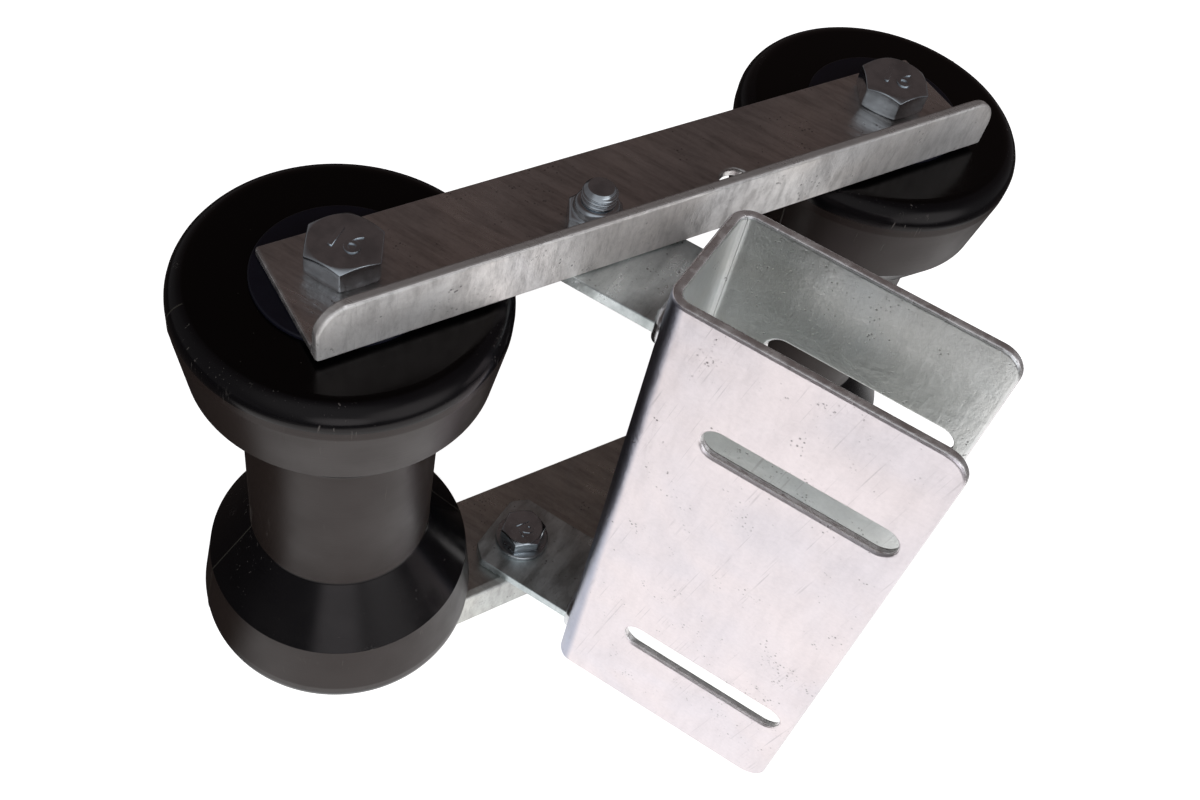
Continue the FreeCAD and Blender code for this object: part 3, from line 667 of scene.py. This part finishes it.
def head_rows(angle, across, high):
    """Rows of a bolt head, from its rounded foot up its sides, over the 30 degree chamfer to the
    turned circle, and in over the slightly dished top. Each row is (radius, height) round the head."""
    side = hexagon_radius(angle, across)
    circle = 0.475 * across
    edge = high - np.clip(side - circle, 0, None) * np.tan(np.radians(30))
    foot = np.clip(side - 0.47 * across, 0, None) * np.tan(np.radians(18))
    rows = [(0.44 * across, 0.0), (0.465 * across, 0.02 * MM), (side - 0.15 * MM, 0.25 * MM + foot),
            (side, 0.6 * MM + foot), (side, 0.3 * high), (side, 0.5 * high), (side, 0.7 * high),
            (side, edge - 0.35 * MM), (side - 0.08 * MM, edge - 0.05 * MM),
            (side - 0.3 * MM, edge + 0.12 * MM), (circle + 0.15 * MM, high - 0.1 * MM),
            (circle - 0.2 * MM, high)]
    for share, sink in ((0.44, 0), (0.36, 0.02), (0.25, 0.05), (0.12, 0.07), (0.02, 0.08), (0, 0.08)):
        rows.append((share * across, high - sink * MM))
    return rows


def thread_rows(angle, diameter, pitch, start, stop, chamfer):
    """Rows of a thread from start down to stop: the radius is a 60 degree tooth of the phase
    height / pitch + angle / 360, cut back by the chamfer at the end."""
    depth = 0.52 * pitch
    heights = np.linspace(start, stop, int(abs(stop - start) / pitch * 12) + 2)
    rows = []
    for height in heights:
        phase = (height / pitch + angle / (2 * np.pi)) % 1.0
        tooth = np.clip(1.25 * (1 - np.abs(2 * phase - 1)), 0.12, 1.0)
        radius = diameter / 2 - depth + depth * (tooth - 0.12) / 0.88
        rows.append((np.minimum(radius, diameter / 2 - chamfer + abs(height - stop)), height))
    return rows


def round_bar(name, rows, angle, place, flip, pierced=False):
    """A closed surface from rows of (radius, height) round its own axis, each a number or one value
    for every angle, put at a place: flip is 1 where the piece's own up is +Y and -1 where it is -Y.
    A pierced piece's last row joins its first through the bore."""
    radius = np.stack([row[0] + 0 * angle for row in rows])
    height = np.stack([row[1] + 0 * angle for row in rows])
    points = np.stack((radius * np.cos(angle), flip * height, radius * np.sin(angle)), axis=2)
    return grid_mesh(name, points + np.array(place), wrap_rows=pierced)


def bolt_mesh(name, across, head, thread, pitch, shank, threaded, place, flip, turn):
    """A whole bolt: head above 0, plain shank below it, and the thread down to the chamfered end."""
    angle = hexagon_angles()
    chamfer = 0.14 * thread
    rows = [(0.0, -shank), (thread / 2 - 1.6 * chamfer, -shank)]
    rows += thread_rows(angle, thread, pitch, -shank + threaded, -shank, chamfer)[::-1]
    rows += [(thread / 2 - HAIR, -shank + threaded + pitch), (thread / 2 - HAIR, -0.4 * MM),
             (thread / 2 + 0.1 * MM, 0.0)]
    rows += head_rows(angle, across, head)
    return round_bar(name, rows, angle + turn, place, flip)


def bright_zinc(name, tint, rough, relief):
    """Electroplated zinc: bright, slightly blue, with fine forging grain and faint rubbed patches."""
    made, tree, shader, place = new_material(name)
    patches = ramp(tree, noise(tree, place, 130.0, 3.0), 0.35, 0.7)
    fine = noise(tree, place, 800.0, 3.0, 0.6)
    colour = blend(tree, patches, tint, tuple(0.72 * c for c in tint))
    tree.links.new(colour, shader.inputs["Base Color"])
    gloss = ramp(tree, patches, 0.0, 1.0, *rough)
    gloss = sums(tree, "ADD", gloss, sums(tree, "MULTIPLY", fine, 0.06))
    tree.links.new(gloss, shader.inputs["Roughness"])
    shader.inputs["Metallic"].default_value = 1.0
    height = sums(tree, "ADD", sums(tree, "MULTIPLY", patches, 0.5), sums(tree, "MULTIPLY", fine, 0.12))
    bumped(tree, shader, height, relief)
    return made


def head_figures(name, figures, size, place, flip, turn, body):
    """The bolt's size as raised figures on its head: flat lettering given a thickness and turned to lie
    on a face at place whose outward direction is flip along Y."""
    letters = bpy.data.curves.new(name, "FONT")
    letters.body = figures
    letters.size = size
    letters.align_x = letters.align_y = "CENTER"
    letters.extrude, letters.bevel_depth = 0.25 * MM, 0.12 * MM
    letters.bevel_resolution = 1
    shaper = bpy.data.objects.new(name + "_shaper", letters)
    bpy.context.scene.collection.objects.link(shaper)
    bpy.context.view_layer.update()
    mesh = bpy.data.meshes.new_from_object(shaper.evaluated_get(bpy.context.evaluated_depsgraph_get()))
    bpy.data.objects.remove(shaper)
    mesh.name = name
    facing = Matrix.Rotation(turn, 4, "Y") @ Matrix.Rotation(-flip * np.pi / 2, 4, "X")
    mesh.transform(Matrix.Translation(place) @ facing)
    mesh.materials.clear()
    place_piece(name, mesh, body, "zinc_fastener", bolt_zinc)


bolt_zinc = bright_zinc("bolt_zinc", (0.72, 0.78, 0.83), (0.13, 0.22), 0.05 * MM)
AXLE_SHANK, AXLE_THREADED, AXLE_FIGURES = 238 * MM, 44 * MM, 12.5 * MM
for end, centre in AXLES.items():
    head_at = centre + Vector((0, ARM_OUTSIDE, 0))
    bolt = bolt_mesh(f"{end}_axle_bolt_whole", AXLE_ACROSS, AXLE_HEAD, AXLE_THREAD, AXLE_PITCH,
                     AXLE_SHANK, AXLE_THREADED, head_at, 1, TIP)
    place_piece(f"{end}_axle_bolt_whole", bolt, "rocker", "zinc_fastener", bolt_zinc, f"{end}_axle_bolt")
    head_figures(f"{end}_axle_bolt_figures", "16", AXLE_FIGURES,
                 head_at + Vector((0, AXLE_HEAD + HAIR, 0)), 1, np.radians(100), "rocker")


# Washers: stamped rings, one face slightly rounded by the punch, under the axle nuts and under the
# pivot bolts' heads.
def washer_mesh(name, outer, bore, low, high, centre):
    """A ring between two places on the Y axis, rounded on its stamped edges."""
    outline = rounded_outline([((low, bore), 0.2 * MM), ((low, outer), 0.25 * MM),
                               ((high, outer), 0.7 * MM), ((high, bore), 0.3 * MM)], 5)
    return turned(name, outline, centre)


washer_zinc = bright_zinc("washer_zinc", (0.6, 0.63, 0.65), (0.24, 0.38), 0.05 * MM)
AXLE_WASHER, AXLE_WASHER_BORE, AXLE_WASHER_THICK = 15 * MM, 8.5 * MM, 3 * MM
for end, centre in AXLES.items():
    ring = washer_mesh(f"{end}_axle_washer_ring", AXLE_WASHER, AXLE_WASHER_BORE, -ARM_OUTSIDE,
                       -(ARM_OUTSIDE + AXLE_WASHER_THICK), centre)
    place_piece(f"{end}_axle_washer_ring", ring, "rocker", "zinc_fastener", washer_zinc,
                f"{end}_axle_washer")


# Locking nuts: a hexagon, then a round collar rolled in at the top over a plastic ring that grips
# the thread. The thread stands a few turns above it.
def nut_mesh(name, across, high, thread, place, flip, turn):
    """A locking nut as one closed skin: up the hexagon, over its chamfer to the collar, in over the
    rolled brow, down to the ring and back through the bore."""
    angle = hexagon_angles()
    side = hexagon_radius(angle, across)
    collar, brow, shoulder, bore = 0.44 * across, 0.13 * across, 0.66 * high, thread / 2 + HAIR
    drop = np.clip(side - 0.475 * across, 0, None) * np.tan(np.radians(30))
    foot = np.clip(side - 0.47 * across, 0, None) * np.tan(np.radians(25))
    rows = [(bore, 0.4 * MM), (thread / 2 + 0.7 * MM, 0.0), (0.455 * across, 0.0),
            (side - 0.12 * MM, 0.2 * MM + foot), (side, 0.5 * MM + foot), (side, 0.25 * high),
            (side, 0.4 * high), (side, shoulder - drop - 0.3 * MM), (side - 0.1 * MM, shoulder - drop),
            (0.5 * (side + collar) - 0.1 * MM, shoulder + 0.1 * MM - 0.4 * drop),
            (collar + 0.25 * MM, shoulder + 0.25 * MM), (collar, shoulder + 0.6 * MM)]
    for bend in np.radians(np.linspace(0, 90, 7)):
        rows.append((collar - brow * (1 - np.cos(bend)), high - brow + brow * np.sin(bend) - HAIR))
    mouth = collar - brow
    rows += [(mouth - 0.15 * MM, high - 0.1 * MM), (mouth - 0.25 * MM, high - 0.5 * MM),
             (mouth - 0.2 * MM, 0.8 * high), (bore, 0.8 * high)]
    return round_bar(name, rows, angle + turn, place, flip, pierced=True)


def grip_ring_mesh(name, across, high, thread, place, flip):
    """The plastic ring: a flat ring inside the collar, pressed up a little where the thread passes."""
    bore, outer = thread / 2 + HAIR, 0.35 * across
    foot, brim, brow = (flip * share * high for share in (0.81, 0.93, 0.95))
    outline = rounded_outline([((foot, bore), 0), ((foot, outer), 0), ((brim, outer), 0.3 * MM),
                               ((brow, bore), 0.2 * MM)], 5)
    return turned(name, outline, place, np.linspace(0, 2 * np.pi, 96, endpoint=False))


nylon = plastic("grip_nylon", 300.0, 2.0, (0.03, 0.045, 0.09), (0.06, 0.08, 0.13), (0.3, 0.7),
                (0.35, 0.5), 0.5, 0.03 * MM)
AXLE_NUT = 16 * MM
for end, centre in AXLES.items():
    seat = centre - Vector((0, ARM_OUTSIDE + AXLE_WASHER_THICK, 0))
    nut = nut_mesh(f"{end}_axle_nut_whole", AXLE_ACROSS, AXLE_NUT, AXLE_THREAD, seat, -1, TIP)
    place_piece(f"{end}_axle_nut_whole", nut, "rocker", "zinc_fastener", bolt_zinc, f"{end}_axle_nut")
    ring = grip_ring_mesh(f"{end}_axle_grip_ring", AXLE_ACROSS, AXLE_NUT, AXLE_THREAD, seat, -1)
    place_piece(f"{end}_axle_grip_ring", ring, "rocker", "nylon", nylon, f"{end}_axle_nut_ring")


# Pivot bolts: 12 mm bolts, one through each ear and arm from the inside, with a washer under the
# head and a locking nut outside. The rocker tips on their shanks.
PIVOT_THREAD, PIVOT_PITCH, PIVOT_ACROSS, PIVOT_HEAD = 12 * MM, 1.75 * MM, 18 * MM, 7.5 * MM
PIVOT_SHANK, PIVOT_THREADED, PIVOT_FIGURES, PIVOT_NUT = 30.1 * MM, 20 * MM, 9 * MM, 12 * MM
PIVOT_WASHER, PIVOT_WASHER_BORE, PIVOT_WASHER_THICK = 12 * MM, 6.5 * MM, 2.5 * MM
EAR_INSIDE, NUT_SEAT, HEAD_TURN = 96.7 * MM, 106.3 * MM, np.radians(28.5 + 19.3)
HEAD_FOOT = EAR_INSIDE - PIVOT_WASHER_THICK
pivot = Vector((0, 0, PIVOT_HIGH))
for hand, side in (("left", 1), ("right", -1)):
    head_at = pivot + Vector((0, side * HEAD_FOOT, 0))
    bolt = bolt_mesh(f"{hand}_pivot_bolt_whole", PIVOT_ACROSS, PIVOT_HEAD, PIVOT_THREAD, PIVOT_PITCH,
                     PIVOT_SHANK, PIVOT_THREADED, head_at, -side, HEAD_TURN)
    place_piece(f"{hand}_pivot_bolt_whole", bolt, "saddle", "zinc_fastener", bolt_zinc,
                f"{hand}_pivot_bolt")
    head_figures(f"{hand}_pivot_bolt_figures", "12", PIVOT_FIGURES,
                 head_at - Vector((0, side * (PIVOT_HEAD + HAIR), 0)), -side, np.radians(60), "saddle")
    ring = washer_mesh(f"{hand}_pivot_washer_ring", PIVOT_WASHER, PIVOT_WASHER_BORE, side * EAR_INSIDE,
                       side * HEAD_FOOT, pivot)
    place_piece(f"{hand}_pivot_washer_ring", ring, "saddle", "zinc_fastener", washer_zinc,
                f"{hand}_pivot_washer")
    seat = pivot + Vector((0, side * NUT_SEAT, 0))
    nut = nut_mesh(f"{hand}_pivot_nut_whole", PIVOT_ACROSS, PIVOT_NUT, PIVOT_THREAD, seat, side, TIP)
    place_piece(f"{hand}_pivot_nut_whole", nut, "saddle", "zinc_fastener", bolt_zinc,
                f"{hand}_pivot_nut")
    ring = grip_ring_mesh(f"{hand}_pivot_grip_ring", PIVOT_ACROSS, PIVOT_NUT, PIVOT_THREAD, seat, side)
    place_piece(f"{hand}_pivot_grip_ring", ring, "saddle", "nylon", nylon, f"{hand}_pivot_nut_ring")


# Studio: the part lies on its right-hand side on a white table, in a dark brown room with a few pale
# patches that the metal mirrors. Two soft lamps light it and aren't mirrored themselves. The camera
# stands where the photographer's stood.
FOCAL_PIXELS, SENSOR = 1311.8, 36.0
PHOTO_WIDE, PHOTO_HIGH = 1200, 800
CENTRE_X, CENTRE_Y = 569.24, 414.76
EYE = Vector((293.9, 416.0, -74.6)) * MM
LOOK = Vector((-0.5695, -0.7944, 0.2112)).normalized()
RIGHT = Vector((-0.5169, 0.1463, -0.8434))
TABLE_Y, TABLE_HALF = -134.0 * MM, 1.6
TABLE_MIDDLE = (0.08, TABLE_Y, -0.07)

camera_data = bpy.data.cameras.new("photograph")
camera_data.sensor_fit = "HORIZONTAL"
camera_data.sensor_width = SENSOR
camera_data.lens = SENSOR * FOCAL_PIXELS / PHOTO_WIDE
camera_data.shift_x = (PHOTO_WIDE / 2 - CENTRE_X) / PHOTO_WIDE
camera_data.shift_y = (CENTRE_Y - PHOTO_HIGH / 2) / PHOTO_WIDE
camera_data.clip_start = 0.01
camera_data.clip_end = 20.0
camera = bpy.data.objects.new("photograph", camera_data)
bpy.context.scene.collection.objects.link(camera)
right = (RIGHT - LOOK * RIGHT.dot(LOOK)).normalized()
up = right.cross(LOOK).normalized()
camera.matrix_world = Matrix.Translation(EYE) @ Matrix((right, up, -LOOK)).transposed().to_4x4()
bpy.context.scene.camera = camera


def emitter(tree, kind, colour, strength=1.0):
    """A plain shader, its colour three numbers or a socket."""
    made = tree.nodes.new(kind)
    if isinstance(colour, tuple):
        made.inputs["Color"].default_value = (*colour, 1.0)
    else:
        tree.links.new(colour, made.inputs["Color"])
    if "Strength" in made.inputs:
        made.inputs["Strength"].default_value = strength
    return made.outputs[0]


def joined(tree, factor, first, second):
    """Two shaders, mixed by a factor, or added where there is none."""
    made = tree.nodes.new("ShaderNodeAddShader" if factor is None else "ShaderNodeMixShader")
    terms = (first, second) if factor is None else (factor, first, second)
    for k, term in enumerate(terms):
        tree.links.new(term, made.inputs[k])
    return made.outputs[0]


table_mesh = bpy.data.meshes.new("table")
corners = [(x * TABLE_HALF, TABLE_Y, z * TABLE_HALF) for x, z in ((-1, -1), (-1, 1), (1, 1), (1, -1))]
table_mesh.from_pydata(corners, [], [(0, 1, 2, 3)])
table = bpy.data.objects.new("table", table_mesh)
bpy.context.scene.collection.objects.link(table)
white = bpy.data.materials.new("table_white")
white.use_nodes = True
tree = white.node_tree
tree.nodes.clear()
place = tree.nodes.new("ShaderNodeTexCoord").outputs["Object"]
ray = tree.nodes.new("ShaderNodeLightPath").outputs
# In reflections the table glows: a painted pool of light round its middle, fading to painted shade far
# off and beyond a slanting line. To the camera it is evenly white.
away = vectors(tree, "DISTANCE", place, TABLE_MIDDLE, "Value")
x, _, z = axes(tree, place)
leaning = sums(tree, "SUBTRACT", z, sums(tree, "MULTIPLY", x, 0.5))
dark = sums(tree, "MAXIMUM", ramp(tree, away, 0.3, 0.5), ramp(tree, leaning, 0.02, 0.075))
DIFFUSE, EMISSION = "ShaderNodeBsdfDiffuse", "ShaderNodeEmission"
lighting = emitter(tree, DIFFUSE, (0.5, 0.49, 0.48))
mirrored = joined(tree, None,
                  emitter(tree, DIFFUSE, blend(tree, dark, (0.86, 0.86, 0.86), (0.08, 0.065, 0.06))),
                  emitter(tree, EMISSION, blend(tree, dark, (0.66, 0.66, 0.66), (0.0, 0.0, 0.0))))
seen = joined(tree, None, emitter(tree, DIFFUSE, (0.86, 0.86, 0.86)),
              emitter(tree, EMISSION, (1.0, 1.0, 1.0), 0.95))
seen = joined(tree, ramp(tree, away, 0.7, 1.35), seen, emitter(tree, EMISSION, (1.0, 1.0, 1.0)))
front = joined(tree, ray["Is Camera Ray"], joined(tree, ray["Is Glossy Ray"], lighting, mirrored), seen)
back = emitter(tree, "ShaderNodeBsdfTransparent", (1.0, 1.0, 1.0))
behind = tree.nodes.new("ShaderNodeNewGeometry").outputs["Backfacing"]
out = tree.nodes.new("ShaderNodeOutputMaterial")
tree.links.new(joined(tree, behind, front, back), out.inputs[0])
table_mesh.materials.append(white)

world = bpy.data.worlds.new("room")
bpy.context.scene.world = world
world.use_nodes = True
tree = world.node_tree
tree.nodes.clear()
direction = tree.nodes.new("ShaderNodeTexCoord").outputs["Generated"]
BACKGROUND = "ShaderNodeBackground"
room = (0.15, 0.145, 0.15)
for aim, narrow, wide, colour in (      # soft patches: a direction, two cosines and a colour
        ((-0.57, 0.79, 0.21), 0.72, 0.3, (0.064, 0.048, 0.045)),
        ((0.0, -1.0, 0.0), 0.9, 0.1, (0.6, 0.6, 0.62)),
        ((0.66, 0.66, -0.3), 0.98, 0.7, (0.44, 0.45, 0.47)),
        ((0.8, 0.1, -0.6), 0.985, 0.93, (1.5, 1.52, 1.6)),
        ((0.25, 0.35, -1.0), 0.97, 0.86, (1.1, 1.12, 1.16))):
    cosine = vectors(tree, "DOT_PRODUCT", direction, Vector(aim).normalized(), "Value")
    room = blend(tree, ramp(tree, cosine, wide, narrow), room, colour)
ray = tree.nodes.new("ShaderNodeLightPath").outputs
out = tree.nodes.new("ShaderNodeOutputWorld")
tree.links.new(joined(tree, ray["Is Camera Ray"], emitter(tree, BACKGROUND, room),
                      emitter(tree, BACKGROUND, (1.0, 1.0, 1.0))), out.inputs[0])

MIDDLE = Vector((-0.03, 0.0, 0.0))
for name, spot, across, watts in (("box_front", (0.85, 0.6, -0.35), 1.6, 5.8),
                                  ("box_low", (0.15, 0.35, -1.1), 1.2, 3.6)):
    lamp = bpy.data.lights.new(name, "AREA")
    lamp.shape = "SQUARE"
    lamp.size = across
    lamp.energy = watts
    holder = bpy.data.objects.new(name, lamp)
    bpy.context.scene.collection.objects.link(holder)
    holder.location = spot
    holder.visible_glossy = False
    holder.rotation_euler = (MIDDLE - Vector(spot)).to_track_quat("-Z", "Y").to_euler()

bpy.context.scene.view_settings.view_transform = "Standard"
